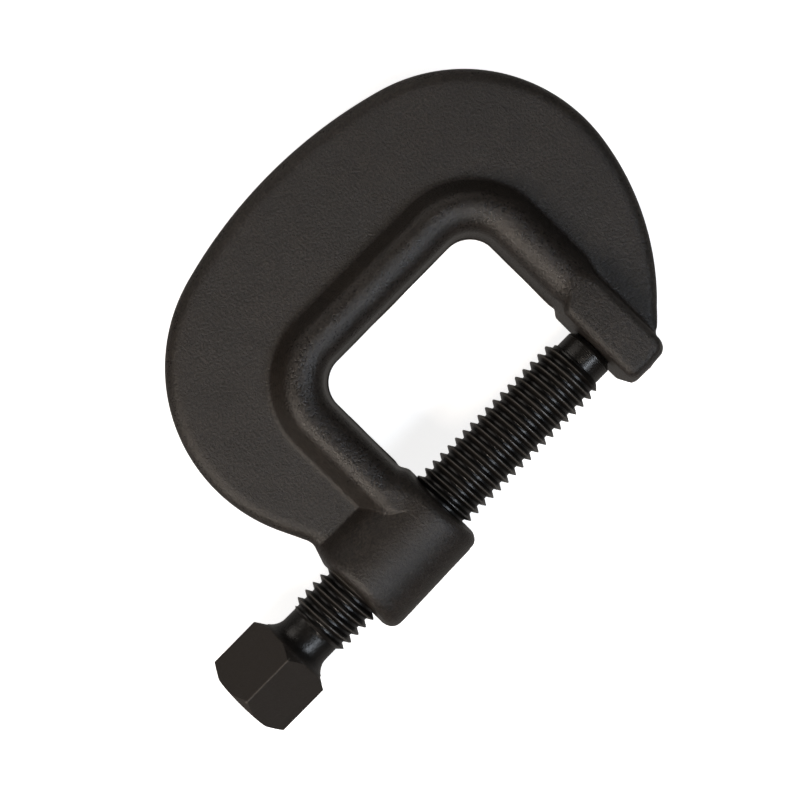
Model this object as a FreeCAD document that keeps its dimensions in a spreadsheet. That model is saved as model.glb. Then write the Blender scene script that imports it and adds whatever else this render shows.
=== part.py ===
import math
import os

import FreeCAD
import Part
import Sketcher
from FreeCAD import Vector

# A small forged C clamp of the full-closing kind, in millimetres: a one-piece frame and
# a one-piece square-headed screw that runs in the frame's tapped boss.
#
# The sketches are drawn from the point where the screw's axis meets the jaw face:
# X runs along the screw towards the jaw, Y from the screw to the spine, and the level
# plane through the axis is the forging's parting plane. Each body's Placement then moves
# the origin to the middle of the clamp's underside, with the clamp lying flat.

# alias, value in millimetres or degrees, what it sizes
DIMENSIONS = (
    # the frame in plan
    ("jaw_opening", 39.25, "boss to jaw face, at the parting plane"),
    ("throat_depth", 31.7, "screw's axis to the spine's wall"),
    ("throat_corner", 5.6, "throat's inner corners"),
    ("boss_arm_setback", 0.95, "boss-side wall behind the boss's face"),
    ("jaw_arm_setback", 0.15, "jaw-side wall behind the jaw face"),
    ("crown_offset", 19.45, "middle of the web's crown behind the jaw face"),
    ("crown_height", 64.42, "screw's axis to the top of the web"),
    ("crown_radius", 92.0, "web's crown"),
    ("shoulder_radius", 31.7, "web's two shoulders"),
    ("front_reach", 28.9, "web ahead of the jaw face"),
    ("back_reach", 66.95, "web behind the jaw face"),
    ("front_radius", 49.6, "web's edge from its front shoulder to the anvil"),
    ("foot_reach", 10.3, "web's lower front end, ahead of the jaw face"),
    ("foot_drop", 5.9, "web's lower front end, below the screw's axis"),
    ("neck_reach", 61.5, "web's waist above the boss, behind the jaw face"),
    ("neck_height", 11.3, "web's waist above the screw's axis"),
    ("neck_radius", 2.8, "hollow of the waist"),
    ("waist_angle", 25.0, "lean of the web's edge on each side of the waist"),
    ("web_landing", 3.2, "web's end on the boss's back, below the boss's top"),
    # the frame's sections
    ("draft_angle", 7.0, "forging draft from the parting plane"),
    ("web_thickness", 7.0, "web"),
    ("web_edge_round", 3.0, "rounding of the web's outer edge"),
    ("rib_height", 19.0, "bead round the throat"),
    ("rib_crest", 7.3, "throat wall to the far edge of the bead's crest"),
    ("rib_width", 10.6, "throat wall to the bead's foot"),
    ("rib_inner_round", 4.9, "bead's shoulder on the throat side"),
    ("rib_outer_round", 2.6, "bead's shoulder on the web side"),
    # boss and anvil
    ("boss_length", 23.55, "boss along the screw"),
    ("boss_radius", 10.35, "boss round the screw"),
    ("boss_corner", 2.6, "boss's lower corners in plan"),
    ("boss_ramp", 2.3, "height of the ramp from the boss's face to the arm's wall"),
    ("boss_slant", 2.9, "height of the slant at the top of the boss's back"),
    ("boss_slant_end", 60.5, "where the slant ends, behind the jaw face"),
    ("anvil_depth", 9.9, "anvil along the screw"),
    ("anvil_drop", 10.1, "anvil below the screw's axis"),
    ("anvil_rise", 9.6, "anvil above the screw's axis"),
    ("anvil_corner", 2.5, "anvil's lower far corner in plan"),
    ("anvil_jaw_corner", 2.9, "anvil's lower corner beside the jaw face, before milling"),
    ("anvil_plain_rise", 7.35, "anvil's edges are softened up to here, where the bead runs in"),
    ("jaw_stock", 1.5, "metal left on the jaw face for milling"),
    ("edge_round", 1.0, "rounding of the boss's and anvil's edges"),
    # thread, 1/2-13
    ("thread_radius", 6.35, "screw's crests"),
    ("thread_pitch", 1.953846, "13 threads to 25.4 mm"),
    ("thread_root", 5.27, "screw's roots"),
    ("crest_flat", 0.244, "width of a crest"),
    ("flank_angle", 30.0, "half the angle between two flanks"),
    ("flank_play", 0.115, "gap along the axis at each flank"),
    ("radial_play", 0.15, "gap at the crests and roots"),
    ("mouth_radius", 6.9, "countersunk mouths of the tapped hole"),
    # screw
    ("tip_gap", 0.05, "closed screw to the jaw face"),
    ("tip_length", 4.25, "plain point ahead of the thread"),
    ("tip_radius", 4.9, "plain point"),
    ("tip_chamfer", 1.0, "chamfer of the point"),
    ("thread_length", 67.9, "thread between its two ends"),
    ("thread_chamfer", 1.15, "lead-in at each end of the thread"),
    ("neck_length", 5.4, "head to the thread"),
    ("neck_size", 5.22, "radius of the neck"),
    ("flare_length", 2.2, "hollow under the head"),
    ("flare_rise", 1.7, "how far the hollow widens the neck"),
    ("head_length", 13.45, "head along the screw"),
    ("head_across", 12.7, "head across its flats"),
    ("head_bevel", 1.62, "length of the cone that trims each end of the head"),
    ("head_face", 6.35, "radius of the head's flat ends"),
    ("head_edge", 0.3, "blunted long edges of the head"),
    # how far shapes that are joined or cut reach past the surface they meet
    ("overlap", 1.0, "into the next piece of metal"),
    ("overcut", 2.0, "a cut beyond the metal"),
    ("hair", 0.1, "the least overlap, where more would show"),
)

# turns of the two helical cuts, and where each starts, in pitches behind the jaw face
SCREW_TURNS = 36
SCREW_START = 37.5
BOSS_TURNS = 15
BOSS_START = 34

# the hollow under the head: share of its length from the head, share of its rise
FLARE_STEPS = ((0.3, 0.45), (0.65, 0.12))

LEVEL = Vector(0, 0, 1)
FULL_TURN = 360
SAME_HEIGHT = 0.01
PICK_SHARE = 0.9


def make_sheet(document):
    """The driving dimensions, one row each: alias, value, meaning."""
    sheet = document.addObject("Spreadsheet::Sheet", "dims")
    for row, (alias, value, meaning) in enumerate(DIMENSIONS, start=1):
        sheet.set(f"A{row}", alias)
        sheet.set(f"B{row}", str(value))
        sheet.set(f"C{row}", meaning)
        sheet.setAlias(f"B{row}", alias)
    document.recompute()
    return sheet


def value_of(owner, text):
    """The number that an expression on the sheet stands for."""
    result = owner.evalExpression(text)
    return getattr(result, "Value", result)


def add_body(document, label):
    """A body whose Placement puts the origin under the middle of the clamp."""
    body = document.addObject("PartDesign::Body", label)
    body.Label = label
    total_length = (
        "(dims.tip_gap + dims.tip_length + dims.thread_length"
        " + dims.neck_length + dims.head_length)"
    )
    body.setExpression("Placement.Base.x", f"({total_length} - dims.front_reach) / 2")
    body.setExpression("Placement.Base.y", "(dims.boss_radius - dims.crown_height) / 2")
    body.setExpression("Placement.Base.z", "dims.boss_radius")
    return body


def add_sketch(body, name, plane, offset_text=None):
    """A sketch on one of the body's origin planes, or a stated distance along its normal."""
    sketch = body.newObject("Sketcher::SketchObject", name)
    support = next(f for f in body.Origin.OriginFeatures if f.Role == plane)
    sketch.AttachmentSupport = [(support, "")]
    sketch.MapMode = "FlatFace"
    if offset_text:
        sketch.setExpression("AttachmentOffset.Base.z", offset_text)
    return sketch


def pin_point(sketch, geometry, vertex, x_text, y_text):
    """Holds one point of a sketch at two expressions on the sheet."""
    for kind, text in (("DistanceX", x_text), ("DistanceY", y_text)):
        distance = value_of(sketch, text)
        constraint = Sketcher.Constraint(kind, -1, 1, geometry, vertex, distance)
        index = sketch.addConstraint(constraint)
        sketch.setExpression(f"Constraints[{index}]", text)


def set_radius(sketch, geometry, text):
    """Binds an arc's or circle's radius to the sheet."""
    index = sketch.addConstraint(Sketcher.Constraint("Radius", geometry, value_of(sketch, text)))
    sketch.setExpression(f"Constraints[{index}]", text)


def add_chain(sketch, corners, closed=True):
    """Straight lines through corners, each given as a pair of expressions."""
    points = [Vector(value_of(sketch, x), value_of(sketch, y), 0) for x, y in corners]
    ends = points[1:] + points[:1] if closed else points[1:]
    first = sketch.GeometryCount
    for start, end in zip(points, ends):
        sketch.addGeometry(Part.LineSegment(start, end))
    count = len(ends)
    for step in range(count):
        pin_point(sketch, first + step, 1, *corners[step])
    for step in range(count if closed else count - 1):
        following = first + (step + 1) % count
        sketch.addConstraint(Sketcher.Constraint("Coincident", first + step, 2, following, 1))
    if not closed:
        pin_point(sketch, first + count - 1, 2, *corners[-1])
    return first


def add_circle(sketch, radius_text):
    """A circle about the sketch's origin."""
    radius = value_of(sketch, radius_text)
    index = sketch.addGeometry(Part.Circle(Vector(), LEVEL, radius))
    sketch.addConstraint(Sketcher.Constraint("Coincident", index, 3, -1, 1))
    set_radius(sketch, index, radius_text)
    return index


def add_arc(sketch, centre, radius, start, end):
    """An arc, counter-clockwise from start to end in radians."""
    circle = Part.Circle(Vector(centre[0], centre[1], 0), LEVEL, radius)
    return sketch.addGeometry(Part.ArcOfCircle(circle, start, end))


def round_corner(sketch, first, second, radius_text):
    """Rounds the corner between two lines; the corner itself stays as a construction point."""
    before = sketch.Geometry[first]
    after = sketch.Geometry[second]
    near_end = before.StartPoint * (1 - PICK_SHARE) + before.EndPoint * PICK_SHARE
    near_start = after.StartPoint * PICK_SHARE + after.EndPoint * (1 - PICK_SHARE)
    arc = sketch.GeometryCount
    sketch.fillet(first, second, near_end, near_start, value_of(sketch, radius_text), True, True)
    set_radius(sketch, arc, radius_text)


def origin_axis(body, role):
    """One of the body's own origin axes, as a feature's reference."""
    return (next(f for f in body.Origin.OriginFeatures if f.Role == role), [""])


def edges_where(feature, wanted):
    """Names of the feature's edges whose midpoint satisfies a test."""
    names = []
    for number, edge in enumerate(feature.Shape.Edges, start=1):
        middle = edge.valueAt((edge.FirstParameter + edge.LastParameter) / 2)
        if wanted(edge, middle):
            names.append(f"Edge{number}")
    return names


def add_fillet(body, base, name, edges, radius_text):
    """A fillet of one radius on named edges of the base feature."""
    fillet = body.newObject("PartDesign::Fillet", name)
    fillet.Base = (base, edges)
    fillet.setExpression("Radius", radius_text)
    body.Document.recompute()
    return fillet


# ---------------------------------------------------------------- frame


def draw_anvil_blank(body):
    """Block that becomes the anvil: its plan, tapered both ways from the parting plane."""
    sketch = add_sketch(body, "anvil_plan", "XY_Plane")
    corners = (
        ("-dims.jaw_stock", "dims.anvil_rise"),
        ("-dims.jaw_stock", "-dims.anvil_drop"),
        ("dims.anvil_depth", "-dims.anvil_drop"),
        ("dims.anvil_depth", "dims.anvil_rise"),
    )
    first = add_chain(sketch, corners)
    round_corner(sketch, first, first + 1, "dims.anvil_jaw_corner")
    round_corner(sketch, first + 1, first + 2, "dims.anvil_corner")
    return sketch


def draw_boss_blank(body):
    """Block that becomes the boss, with the ramp from its face up to the throat's wall."""
    sketch = add_sketch(body, "boss_plan", "XY_Plane")
    back = "-(dims.jaw_opening + dims.boss_length)"
    corners = (
        (back, "-dims.boss_radius"),
        ("-dims.jaw_opening", "-dims.boss_radius"),
        ("-dims.jaw_opening", "dims.boss_radius - dims.boss_ramp"),
        ("-(dims.jaw_opening + dims.boss_arm_setback)", "dims.boss_radius"),
        ("-dims.boss_slant_end", "dims.boss_radius"),
        (back, "dims.boss_radius - dims.boss_slant"),
    )
    first = add_chain(sketch, corners)
    round_corner(sketch, first, first + 1, "dims.boss_corner")
    round_corner(sketch, first + 5, first, "dims.boss_corner")
    return sketch


def add_tapered_pad(body, sketch, name, height_text):
    """A pad drafted both ways from the parting plane."""
    pad = body.newObject("PartDesign::Pad", name)
    pad.Profile = sketch
    pad.SideType = "Two sides"
    pad.setExpression("Length", height_text)
    pad.setExpression("Length2", height_text)
    pad.setExpression("TaperAngle", "-dims.draft_angle")
    pad.setExpression("TaperAngle2", "-dims.draft_angle")
    body.Document.recompute()
    return pad


def add_pocket(body, sketch, name, length_text):
    """A pocket that must take material away."""
    before = body.Shape.Volume
    pocket = body.newObject("PartDesign::Pocket", name)
    pocket.Profile = sketch
    pocket.setExpression("Length", length_text)
    body.Document.recompute()
    if pocket.Shape.Volume >= before:
        raise RuntimeError(f"{name} cuts nothing")
    return pocket


def turn_boss_round(body):
    """Everything of the boss's block that lies outside the round boss is taken off."""
    sketch = add_sketch(body, "boss_round", "YZ_Plane", "dims.overlap - dims.jaw_opening")
    reach = "(dims.boss_radius + dims.overcut)"
    corners = (
        (f"-{reach}", f"-{reach}"),
        (reach, f"-{reach}"),
        (reach, reach),
        (f"-{reach}", reach),
    )
    add_chain(sketch, corners)
    add_circle(sketch, "dims.boss_radius")
    return add_pocket(body, sketch, "round_off_boss", "dims.boss_length + 2 * dims.overlap")


def draw_web(body):
    """The web's outline: crown, shoulders, front edge and waist as tangent arcs."""
    sketch = add_sketch(body, "web_outline", "XY_Plane")
    crown_r = value_of(sketch, "dims.crown_radius")
    shoulder_r = value_of(sketch, "dims.shoulder_radius")
    front_r = value_of(sketch, "dims.front_radius")
    neck_r = value_of(sketch, "dims.neck_radius")

    def point(x_text, y_text):
        return Vector(value_of(sketch, x_text), value_of(sketch, y_text), 0)

    foot = point("dims.foot_reach", "-dims.foot_drop")
    crown = point("-dims.crown_offset", "dims.crown_height - dims.crown_radius")
    front_x = value_of(sketch, "dims.front_reach - dims.shoulder_radius")
    back_x = value_of(sketch, "dims.shoulder_radius - dims.back_reach")
    gap = crown_r - shoulder_r
    front = Vector(front_x, crown.y + math.sqrt(gap**2 - (front_x - crown.x) ** 2), 0)
    back = Vector(back_x, crown.y + math.sqrt(gap**2 - (back_x - crown.x) ** 2), 0)

    # the front edge's centre is front_r from the foot, and from the front shoulder's
    # centre it is the difference of their radii
    step = front_r - shoulder_r
    span = foot - front
    along = (span.Length**2 + step**2 - front_r**2) / (2 * span.Length)
    unit = span / span.Length
    side = Vector(unit.y, -unit.x, 0)
    edge = front + unit * along + side * math.sqrt(step**2 - along**2)

    def heading(start, end):
        return math.atan2(end.y - start.y, end.x - start.x)

    front_turn = heading(edge, front)
    crown_front = heading(crown, front)
    crown_back = heading(crown, back)
    neck = point("-(dims.neck_reach + dims.neck_radius)", "dims.neck_height")
    waist_turn = math.radians(value_of(sketch, "dims.waist_angle"))
    lean = math.pi + waist_turn
    leave = back + Vector(math.cos(lean), math.sin(lean), 0) * shoulder_r
    arrive = neck + Vector(math.cos(waist_turn), math.sin(waist_turn), 0) * neck_r
    depart = neck + Vector(math.cos(-waist_turn), math.sin(-waist_turn), 0) * neck_r
    boss_back = "-(dims.jaw_opening + dims.boss_length)"
    landing_x = f"{boss_back} + dims.hair"
    landing_y = "dims.boss_radius - dims.web_landing"
    landing = point(landing_x, landing_y)

    front_arc = add_arc(sketch, edge, front_r, heading(edge, foot), front_turn)
    front_shoulder = add_arc(sketch, front, shoulder_r, front_turn, crown_front)
    crown_arc = add_arc(sketch, crown, crown_r, crown_front, crown_back)
    back_shoulder = add_arc(sketch, back, shoulder_r, crown_back, lean)
    waist_line = sketch.addGeometry(Part.LineSegment(leave, arrive))
    waist = add_arc(sketch, neck, neck_r, -waist_turn, waist_turn)
    flare = sketch.addGeometry(Part.LineSegment(depart, landing))

    tangents = (
        (front_arc, 2, front_shoulder, 1),
        (front_shoulder, 2, crown_arc, 1),
        (crown_arc, 2, back_shoulder, 1),
        (back_shoulder, 2, waist_line, 1),
        (waist_line, 2, waist, 2),
        (waist, 1, flare, 1),
    )
    for first, first_end, second, second_end in tangents:
        sketch.addConstraint(Sketcher.Constraint("Tangent", first, first_end, second, second_end))
    set_radius(sketch, front_arc, "dims.front_radius")
    set_radius(sketch, front_shoulder, "dims.shoulder_radius")
    set_radius(sketch, crown_arc, "dims.crown_radius")
    set_radius(sketch, back_shoulder, "dims.shoulder_radius")
    set_radius(sketch, waist, "dims.neck_radius")
    pin_point(sketch, crown_arc, 3, "-dims.crown_offset", "dims.crown_height - dims.crown_radius")
    pin_point(sketch, waist, 3, "-(dims.neck_reach + dims.neck_radius)", "dims.neck_height")
    for geometry, text in (
        (front_shoulder, "dims.front_reach - dims.shoulder_radius"),
        (back_shoulder, "dims.shoulder_radius - dims.back_reach"),
    ):
        constraint = Sketcher.Constraint("DistanceX", -1, 1, geometry, 3, value_of(sketch, text))
        index = sketch.addConstraint(constraint)
        sketch.setExpression(f"Constraints[{index}]", text)

    # the inner side runs hidden inside the boss, the bead and the anvil
    inner = "dims.rib_width / 2"
    corners = (
        (landing_x, landing_y),
        (f"{boss_back} + dims.overcut + dims.overlap", "dims.overcut"),
        (f"-(dims.jaw_opening + {inner})", "2"),
        (f"-(dims.jaw_opening + {inner})", f"dims.throat_depth + {inner}"),
        (inner, f"dims.throat_depth + {inner}"),
        (inner, "-dims.foot_drop"),
        ("dims.foot_reach", "-dims.foot_drop"),
    )
    first = add_chain(sketch, corners, closed=False)
    last = first + len(corners) - 2
    sketch.addConstraint(Sketcher.Constraint("Coincident", flare, 2, first, 1))
    sketch.addConstraint(Sketcher.Constraint("Coincident", last, 2, front_arc, 1))
    return sketch


def add_web(body):
    """The web, padded evenly about the parting plane."""
    pad = body.newObject("PartDesign::Pad", "web")
    pad.Profile = draw_web(body)
    pad.SideType = "Symmetric"
    pad.setExpression("Length", "dims.web_thickness")
    body.Document.recompute()
    return pad


def add_rib(body):
    """The bead: its section carried round the throat, from the boss to the anvil."""
    path = add_sketch(body, "throat_wall", "XY_Plane")
    left = "-(dims.jaw_opening + dims.boss_arm_setback)"
    right = "dims.jaw_arm_setback"
    corner = value_of(path, "dims.throat_corner")
    left_x = value_of(path, left)
    right_x = value_of(path, right)
    top = value_of(path, "dims.throat_depth")
    foot = -value_of(path, "dims.foot_drop")
    line = [
        Vector(left_x, 0, 0),
        Vector(left_x, top - corner, 0),
        Vector(left_x + corner, top, 0),
        Vector(right_x - corner, top, 0),
        Vector(right_x, top - corner, 0),
        Vector(right_x, foot, 0),
    ]
    up = path.addGeometry(Part.LineSegment(line[0], line[1]))
    back_turn = add_arc(path, (left_x + corner, top - corner), corner, math.pi / 2, math.pi)
    across = path.addGeometry(Part.LineSegment(line[2], line[3]))
    front_turn = add_arc(path, (right_x - corner, top - corner), corner, 0, math.pi / 2)
    down = path.addGeometry(Part.LineSegment(line[4], line[5]))
    for first, first_end, second, second_end in (
        (up, 2, back_turn, 2),
        (back_turn, 1, across, 1),
        (across, 2, front_turn, 2),
        (front_turn, 1, down, 1),
    ):
        path.addConstraint(Sketcher.Constraint("Tangent", first, first_end, second, second_end))
    pin_point(path, up, 1, left, "0")
    pin_point(path, up, 2, left, "dims.throat_depth - dims.throat_corner")
    pin_point(path, across, 1, f"{left} + dims.throat_corner", "dims.throat_depth")
    pin_point(path, down, 1, right, "dims.throat_depth - dims.throat_corner")
    pin_point(path, down, 2, right, "-dims.foot_drop")

    section = add_sketch(body, "rib_section", "XZ_Plane")
    half = "dims.rib_height / 2"
    wall = f"{left} - {half} * tan(dims.draft_angle * 1 deg)"
    crest = f"{left} - dims.rib_crest"
    outer = f"{left} - dims.rib_width"
    flat = "dims.web_thickness / 2"
    corners = (
        (left, "0"),
        (wall, half),
        (crest, half),
        (outer, flat),
        (outer, f"-{flat}"),
        (crest, f"-{half}"),
        (wall, f"-{half}"),
    )
    first = add_chain(section, corners)
    round_corner(section, first, first + 1, "dims.rib_inner_round")
    round_corner(section, first + 1, first + 2, "dims.rib_outer_round")
    round_corner(section, first + 4, first + 5, "dims.rib_outer_round")
    round_corner(section, first + 5, first + 6, "dims.rib_inner_round")
    body.Document.recompute()

    pipe = body.newObject("PartDesign::AdditivePipe", "rib")
    pipe.Profile = section
    pipe.Spine = (path, [""])
    pipe.Mode = "Standard"
    body.Document.recompute()
    return pipe


def round_web_edge(body, web):
    """The web's outer edge is rounded towards the parting plane on both sides."""
    half = value_of(web, "dims.web_thickness / 2")
    smallest = value_of(web, "dims.shoulder_radius") - SAME_HEIGHT

    def outer(edge, middle):
        on_face = abs(abs(middle.z) - half) < SAME_HEIGHT
        return on_face and getattr(edge.Curve, "Radius", 0) > smallest

    return add_fillet(body, web, "web_edge", edges_where(web, outer), "dims.web_edge_round")


def round_block_edges(body, base):
    """The edges of the anvil's two flat sides are softened, except where the bead runs in."""
    half = value_of(base, "dims.boss_radius")
    jaw = -value_of(base, "dims.jaw_stock")
    bead = value_of(base, "dims.anvil_plain_rise")

    def sharp(edge, middle):
        on_side = abs(abs(middle.z) - half) < SAME_HEIGHT
        return on_side and middle.x > jaw and middle.y < bead

    return add_fillet(body, base, "anvil_edges", edges_where(base, sharp), "dims.edge_round")


def mill_jaw(body):
    """The jaw face is cut square to the screw, through the anvil's draft."""
    height = "(dims.boss_radius + dims.overcut)"
    sketch = add_sketch(body, "jaw_cut", "XY_Plane", height)
    clear = "-(dims.jaw_stock + dims.overcut)"
    bottom = "-(dims.anvil_drop + dims.overcut)"
    top = "dims.anvil_rise + dims.overcut"
    add_chain(sketch, ((clear, bottom), ("0", bottom), ("0", top), (clear, top)))
    return add_pocket(body, sketch, "jaw_face", f"2 * {height}")


def tap_boss(body):
    """Bored to the thread's minor size, countersunk at both mouths, then tapped."""
    bore = add_sketch(body, "bore_circle", "YZ_Plane", "dims.overlap - dims.jaw_opening")
    add_circle(bore, "dims.thread_root + dims.radial_play")
    add_pocket(body, bore, "bore", "dims.boss_length + 2 * dims.overlap")

    for name, face, inward in (
        ("front_mouth", "-dims.jaw_opening", "-"),
        ("back_mouth", "-(dims.jaw_opening + dims.boss_length)", "+"),
    ):
        outward = "+" if inward == "-" else "-"
        lip = f"({face} {inward} dims.mouth_radius * tan(dims.draft_angle * 1 deg))"
        mouth = add_sketch(body, f"{name}_profile", "XY_Plane")
        corners = (
            (f"{lip} {inward} (dims.mouth_radius - dims.thread_root)", "dims.thread_root"),
            (lip, "dims.mouth_radius"),
            (f"{lip} {outward} dims.overcut", "dims.mouth_radius"),
            (f"{lip} {outward} dims.overcut", "dims.thread_root"),
        )
        add_chain(mouth, corners)
        groove = body.newObject("PartDesign::Groove", name)
        groove.Profile = mouth
        groove.ReferenceAxis = origin_axis(body, "X_Axis")
        groove.Angle = FULL_TURN
        body.Document.recompute()

    sketch = add_sketch(body, "tap_profile", "XY_Plane")
    slope = "tan(dims.flank_angle * 1 deg)"
    draw_thread_form(
        sketch,
        f"-{BOSS_START} * dims.thread_pitch",
        inner="dims.thread_root + dims.radial_play - dims.hair",
        outer="dims.thread_radius + dims.radial_play",
        outer_width=f"(dims.crest_flat + 2 * dims.flank_play - 2 * dims.radial_play * {slope})",
        widens_inward=True,
    )
    return add_helix_cut(body, sketch, "tapped_thread", BOSS_TURNS)


def draw_thread_form(sketch, centre, inner, outer, outer_width, widens_inward):
    """The groove between two turns of a thread, or the groove that receives one."""
    sign = "+" if widens_inward else "-"
    slope = "tan(dims.flank_angle * 1 deg)"
    inner_half = f"({outer_width} / 2 {sign} ({outer} - ({inner})) * {slope})"
    corners = (
        (f"{centre} - {outer_width} / 2", outer),
        (f"{centre} - {inner_half}", inner),
        (f"{centre} + {inner_half}", inner),
        (f"{centre} + {outer_width} / 2", outer),
    )
    add_chain(sketch, corners)


def add_helix_cut(body, sketch, name, turns):
    """A right-hand helical cut along the screw's axis."""
    before = body.Shape.Volume
    helix = body.newObject("PartDesign::SubtractiveHelix", name)
    helix.Profile = sketch
    helix.ReferenceAxis = origin_axis(body, "X_Axis")
    helix.Mode = "pitch-turns-angle"
    helix.setExpression("Pitch", "dims.thread_pitch")
    helix.Turns = turns
    helix.Angle = 0
    helix.LeftHanded = False
    helix.Reversed = False
    body.Document.recompute()
    if not helix.Shape.Volume < before:
        raise RuntimeError(f"{name} cuts nothing")
    return helix


def build_boss(document):
    """The boss by itself: a tapered block turned round about the screw's axis."""
    body = document.addObject("PartDesign::Body", "boss_blank")
    add_tapered_pad(body, draw_boss_blank(body), "boss_block", "dims.boss_radius")
    turn_boss_round(body)
    return body


def build_frame(document):
    """The forging: web, bead, boss and anvil, then its milled and tapped surfaces."""
    boss = build_boss(document)
    body = add_body(document, "frame")
    web = add_web(body)
    round_web_edge(body, web)
    add_rib(body)
    join = body.newObject("PartDesign::Boolean", "boss")
    join.setObjects([boss])
    join.Type = "Fuse"
    document.recompute()
    add_tapered_pad(body, draw_anvil_blank(body), "anvil_blank", "dims.boss_radius")
    jaw = mill_jaw(body)
    round_block_edges(body, jaw)
    tap_boss(body)
    return body


# ---------------------------------------------------------------- screw


def thread_end(side):
    """Where the thread stops: its front end at the point, its back end at the neck."""
    front = "-(dims.tip_gap + dims.tip_length)"
    return front if side == "front" else f"({front} - dims.thread_length)"


def add_revolution(body, sketch, name):
    """A full turn of a profile about the screw's axis."""
    turned = body.newObject("PartDesign::Revolution", name)
    turned.Profile = sketch
    turned.ReferenceAxis = origin_axis(body, "X_Axis")
    turned.Angle = FULL_TURN
    body.Document.recompute()
    return turned


def build_head(body):
    """Square head set corner up, its ends trimmed by shallow cones."""
    front = f"({thread_end('back')} - dims.neck_length)"
    back = f"({front} - dims.head_length)"
    sketch = add_sketch(body, "head_square", "YZ_Plane", front)
    corner = "(dims.head_across / sqrt(2))"
    add_chain(sketch, ((corner, "0"), ("0", corner), (f"-{corner}", "0"), ("0", f"-{corner}")))
    head = body.newObject("PartDesign::Pad", "head")
    head.Profile = sketch
    head.setExpression("Length", "dims.head_length")
    head.Reversed = True
    body.Document.recompute()

    def runs_along_screw(edge, middle):
        return abs(edge.Vertexes[0].X - edge.Vertexes[-1].X) > SAME_HEIGHT

    add_fillet(body, head, "head_edges", edges_where(head, runs_along_screw), "dims.head_edge")

    slope = f"dims.head_bevel / ({corner} - dims.head_face)"
    outer = f"({corner} + dims.overlap)"
    for name, face, inward in (("head_front_cone", front, "-"), ("head_back_cone", back, "+")):
        outward = "+" if inward == "-" else "-"
        cone = add_sketch(body, f"{name}_profile", "XY_Plane")
        corners = (
            (face, "dims.head_face"),
            (f"{face} {inward} ({outer} - dims.head_face) * {slope}", outer),
            (f"{face} {outward} dims.overlap", outer),
            (f"{face} {outward} dims.overlap", "dims.head_face"),
        )
        add_chain(cone, corners)
        groove = body.newObject("PartDesign::Groove", name)
        groove.Profile = cone
        groove.ReferenceAxis = origin_axis(body, "X_Axis")
        groove.Angle = FULL_TURN
        body.Document.recompute()


def build_shank(body):
    """Neck with its hollow flare under the head, and the blank for the thread."""
    front = thread_end("front")
    back = thread_end("back")
    head = f"({back} - dims.neck_length)"
    lead = "dims.thread_chamfer"
    flare = tuple(
        (
            f"{head} + dims.flare_length * {length_share}",
            f"dims.neck_size + dims.flare_rise * {rise_share}",
        )
        for length_share, rise_share in FLARE_STEPS
    )
    sketch = add_sketch(body, "shank_profile", "XY_Plane")
    corners = (
        (f"{head} - dims.overlap", "0"),
        (f"{head} - dims.overlap", "dims.neck_size + dims.flare_rise"),
        (head, "dims.neck_size + dims.flare_rise"),
        *flare,
        (f"{head} + dims.flare_length", "dims.neck_size"),
        (back, "dims.neck_size"),
        (f"{back} + {lead}", "dims.thread_radius"),
        (f"{front} - {lead}", "dims.thread_radius"),
        (front, "dims.neck_size - dims.hair"),
        (front, "0"),
    )
    add_chain(sketch, corners)
    return add_revolution(body, sketch, "shank")


def build_screw(document):
    """The screw: square head, neck and right-hand thread in one piece."""
    body = add_body(document, "screw")
    build_head(body)
    build_shank(body)
    sketch = add_sketch(body, "thread_profile", "XY_Plane")
    slope = "tan(dims.flank_angle * 1 deg)"
    draw_thread_form(
        sketch,
        f"-{SCREW_START} * dims.thread_pitch",
        inner="dims.thread_root",
        outer="dims.thread_radius + dims.hair",
        outer_width=f"(dims.thread_pitch - dims.crest_flat + 2 * dims.hair * {slope})",
        widens_inward=False,
    )
    add_helix_cut(body, sketch, "cut_thread", SCREW_TURNS)
    return body


def build_screw_tip(document):
    """The screw's plain point, chamfered where it meets the work."""
    body = add_body(document, "screw_tip")
    sketch = add_sketch(body, "tip_profile", "XY_Plane")
    corners = (
        (thread_end("front"), "0"),
        (thread_end("front"), "dims.tip_radius"),
        ("-(dims.tip_gap + dims.tip_chamfer)", "dims.tip_radius"),
        ("-dims.tip_gap", "dims.tip_radius - dims.tip_chamfer"),
        ("-dims.tip_gap", "0"),
    )
    add_chain(sketch, corners)
    add_revolution(body, sketch, "point")
    return body


def check(document, bodies):
    """Stops on any failed feature or any body without one good solid."""
    for item in document.Objects:
        if "Invalid" in item.State or "Error" in item.State:
            raise RuntimeError(f"{item.Name}: {item.State}")
    for body in bodies:
        if body.Shape.isNull() or not body.Shape.isValid():
            raise RuntimeError(f"{body.Label} has no valid shape")


def write_parts(bodies):
    """One STEP file per piece, named after its body."""
    os.makedirs("parts", exist_ok=True)
    for body in bodies:
        body.Shape.exportStep(f"parts/{body.Label}.step")
        box = body.Shape.BoundBox
        print(f"{body.Label}: {len(body.Shape.Solids)} solid, {body.Shape.Volume:.1f} mm3, {box}")


document = FreeCAD.newDocument("c_clamp")
make_sheet(document)
pieces = [build_frame(document), build_screw(document), build_screw_tip(document)]
document.recompute()
check(document, pieces)
write_parts(pieces)
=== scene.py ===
import math

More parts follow.
